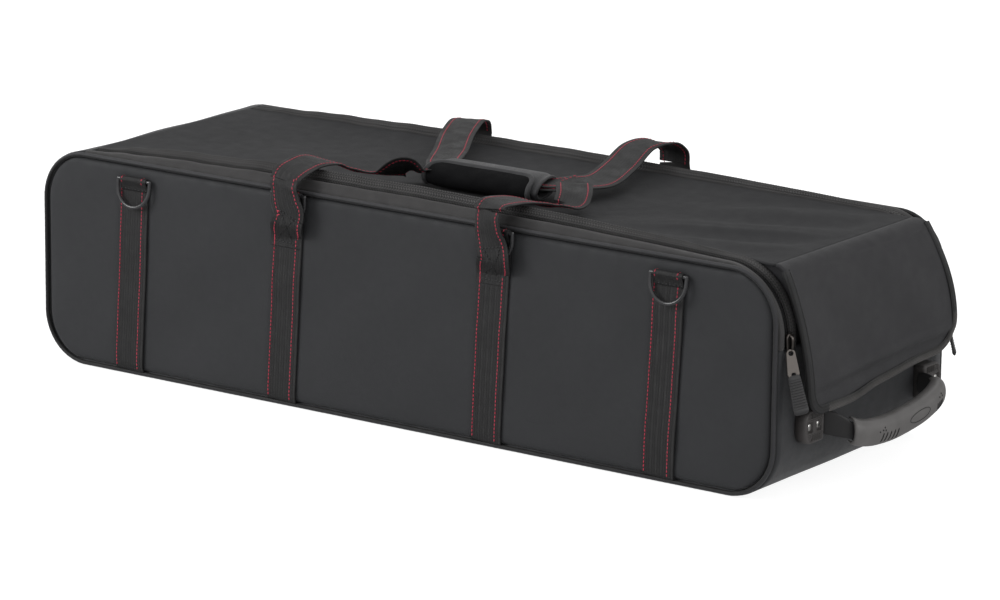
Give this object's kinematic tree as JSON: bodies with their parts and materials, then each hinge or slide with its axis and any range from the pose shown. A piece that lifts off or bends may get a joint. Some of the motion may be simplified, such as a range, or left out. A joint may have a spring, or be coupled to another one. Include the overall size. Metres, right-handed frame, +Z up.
{
  "type": "drum hardware case",
  "caption": "Long soft-sided case with a zipped lid, end flap, strapped sides, carry handles, D-rings, an end haul handle and corner wheels.",
  "frame": {"origin": "centre of the base, on the floor, midway between the ends and between the front and rear piping", "axes": "+X along the case towards the haul handle, -Y out of the front panel, +Z up"},
  "size_m": [1.021, 0.357, 0.2668],
  "materials": {
    "panel_fabric": "charcoal woven polyester, coated back, slight sheen",
    "piping": "woven piping over a cord",
    "stiffening_board": "sheet plastic",
    "zip_tape": "zip tape with a nylon coil",
    "binding_tape": "ribbed edge tape",
    "webbing": "ribbed webbing with red stitch lines",
    "grip_padding": "padded fabric wrap with a bound edge",
    "ring_metal": "gloss black coated wire",
    "moulded_black": "fine textured moulding",
    "grip_grey": "soft-touch moulding",
    "rivet_steel": "plain steel",
    "slider_metal": "dark nickel plate",
    "bush_plastic": "acetal",
    "tyre_rubber": "moulded rubber"
  },
  "bodies": {
    "bag": {"front_panel": "panel_fabric", "rear_panel": "panel_fabric", "base_panel": "panel_fabric", "hinge_end_panel": "panel_fabric", "haul_end_panel": "panel_fabric", "base_board": "stiffening_board", "haul_end_board": "stiffening_board", "front_piping": "piping", "rear_piping": "piping", "front_rim_band": "panel_fabric", "rear_rim_band": "panel_fabric", "front_zip_case_half": "zip_tape", "rear_zip_case_half": "zip_tape", "front_straps": "webbing", "rear_straps": "webbing", "front_ring_tabs": "webbing", "rear_ring_tabs": "webbing", "front_handle_tails": "webbing", "rear_handle_tails": "webbing", "front_haul_bracket": "moulded_black", "rear_haul_bracket": "moulded_black", "haul_rivets": "rivet_steel", "front_wheel_housing": "moulded_black", "rear_wheel_housing": "moulded_black", "housing_rivets": "rivet_steel", "wheel_axles": "rivet_steel"},
    "lid": {"lid_panel": "panel_fabric", "front_zip_lid_half": "zip_tape", "rear_zip_lid_half": "zip_tape", "front_lid_binding": "binding_tape", "rear_lid_binding": "binding_tape", "inner_end_panel": "panel_fabric"},
    "flap": {"end_flap": "panel_fabric", "flap_binding": "binding_tape"},
    "front_carry_handle": {"front_handle": "webbing", "grip_wrap": "grip_padding"},
    "rear_carry_handle": {"rear_handle": "webbing"},
    "haul_handle": {"haul_strap": "moulded_black", "haul_grip": "grip_grey"},
    "front_wheel": {"front_wheel_tyre": "tyre_rubber", "front_wheel_hub": "moulded_black", "front_wheel_bushes": "bush_plastic"},
    "rear_wheel": {"rear_wheel_tyre": "tyre_rubber", "rear_wheel_hub": "moulded_black", "rear_wheel_bushes": "bush_plastic"},
    "front_slider": {"front_zip_slider": "slider_metal"},
    "rear_slider": {"rear_zip_slider": "slider_metal"},
    "front_puller": {"front_zip_puller": "slider_metal", "front_pull_tab": "moulded_black"},
    "rear_puller": {"rear_zip_puller": "slider_metal", "rear_pull_tab": "moulded_black"},
    "front_ring_1": {"front_d_ring_1": "ring_metal"},
    "front_ring_2": {"front_d_ring_2": "ring_metal"},
    "front_ring_3": {"front_d_ring_3": "ring_metal"},
    "front_ring_4": {"front_d_ring_4": "ring_metal"},
    "rear_ring_1": {"rear_d_ring_1": "ring_metal"},
    "rear_ring_2": {"rear_d_ring_2": "ring_metal"},
    "rear_ring_3": {"rear_d_ring_3": "ring_metal"},
    "rear_ring_4": {"rear_d_ring_4": "ring_metal"}
  },
  "joints": [
    {"name": "lid_hinge", "type": "hinge", "parent": "bag", "child": "lid", "pos_m": [-0.4255, 0, 0.2438], "axis": [0, -1, 0], "range_deg": [0, 170]},
    {"name": "flap_hinge", "type": "hinge", "parent": "lid", "child": "flap", "pos_m": [0.471, 0, 0.2395], "axis": [0, -1, 0], "range_deg": [0, 165]},
    {"name": "front_handle_swing", "type": "hinge", "parent": "bag", "child": "front_carry_handle", "pos_m": [0, -0.173, 0.251], "axis": [1, 0, 0], "range_deg": [0, 225], "deforming": ["front_handle", "grip_wrap"]},
    {"name": "rear_handle_swing", "type": "hinge", "parent": "bag", "child": "rear_carry_handle", "pos_m": [0, 0.173, 0.251], "axis": [-1, 0, 0], "range_deg": [0, 225], "deforming": ["rear_handle"]},
    {"name": "haul_swing", "type": "hinge", "parent": "bag", "child": "haul_handle", "pos_m": [0.489, 0, 0.073], "axis": [0, -1, 0], "range_deg": [-35, 28]},
    {"name": "front_wheel_spin", "type": "hinge", "parent": "bag", "child": "front_wheel", "pos_m": [-0.4625, -0.11, 0.0284], "axis": [0, 1, 0], "continuous": true},
    {"name": "rear_wheel_spin", "type": "hinge", "parent": "bag", "child": "rear_wheel", "pos_m": [-0.4625, 0.11, 0.0284], "axis": [0, 1, 0], "continuous": true},
    {"name": "front_slider_travel", "type": "hinge", "parent": "bag", "child": "front_slider", "pos_m": [0.4125, -0.145, 0.172], "axis": [0, -1, 0], "range_deg": [0, 90]},
    {"name": "front_puller_swing", "type": "hinge", "parent": "front_slider", "child": "front_puller", "pos_m": [0.48848, -0.145, 0.172], "axis": [0, -1, 0], "range_deg": [0, 165]},
    {"name": "rear_slider_travel", "type": "hinge", "parent": "bag", "child": "rear_slider", "pos_m": [0.4125, 0.145, 0.172], "axis": [0, -1, 0], "range_deg": [0, 90]},
    {"name": "rear_puller_swing", "type": "hinge", "parent": "rear_slider", "child": "rear_puller", "pos_m": [0.48848, 0.145, 0.172], "axis": [0, -1, 0], "range_deg": [0, 165]},
    {"name": "front_ring_1_swing", "type": "hinge", "parent": "bag", "child": "front_ring_1", "pos_m": [-0.348, -0.16858, 0.222], "axis": [-1, 0, 0], "range_deg": [0, 165]},
    {"name": "front_ring_2_swing", "type": "hinge", "parent": "bag", "child": "front_ring_2", "pos_m": [-0.135, -0.16858, 0.236], "axis": [-1, 0, 0], "range_deg": [0, 7]},
    {"name": "front_ring_3_swing", "type": "hinge", "parent": "bag", "child": "front_ring_3", "pos_m": [0.137, -0.16858, 0.236], "axis": [-1, 0, 0], "range_deg": [0, 7]},
    {"name": "front_ring_4_swing", "type": "hinge", "parent": "bag", "child": "front_ring_4", "pos_m": [0.354, -0.16858, 0.222], "axis": [-1, 0, 0], "range_deg": [0, 165]},
    {"name": "rear_ring_1_swing", "type": "hinge", "parent": "bag", "child": "rear_ring_1", "pos_m": [-0.348, 0.16858, 0.222], "axis": [1, 0, 0], "range_deg": [0, 165]},
    {"name": "rear_ring_2_swing", "type": "hinge", "parent": "bag", "child": "rear_ring_2", "pos_m": [-0.135, 0.16858, 0.236], "axis": [1, 0, 0], "range_deg": [0, 7]},
    {"name": "rear_ring_3_swing", "type": "hinge", "parent": "bag", "child": "rear_ring_3", "pos_m": [0.137, 0.16858, 0.236], "axis": [1, 0, 0], "range_deg": [0, 7]},
    {"name": "rear_ring_4_swing", "type": "hinge", "parent": "bag", "child": "rear_ring_4", "pos_m": [0.354, 0.16858, 0.222], "axis": [1, 0, 0], "range_deg": [0, 165]}
  ],
  "couplings": [
    {"joint": "front_handle_swing", "follows": "lid_hinge", "ratio": 1.32},
    {"joint": "rear_handle_swing", "follows": "lid_hinge", "ratio": 1.32}
  ]
}
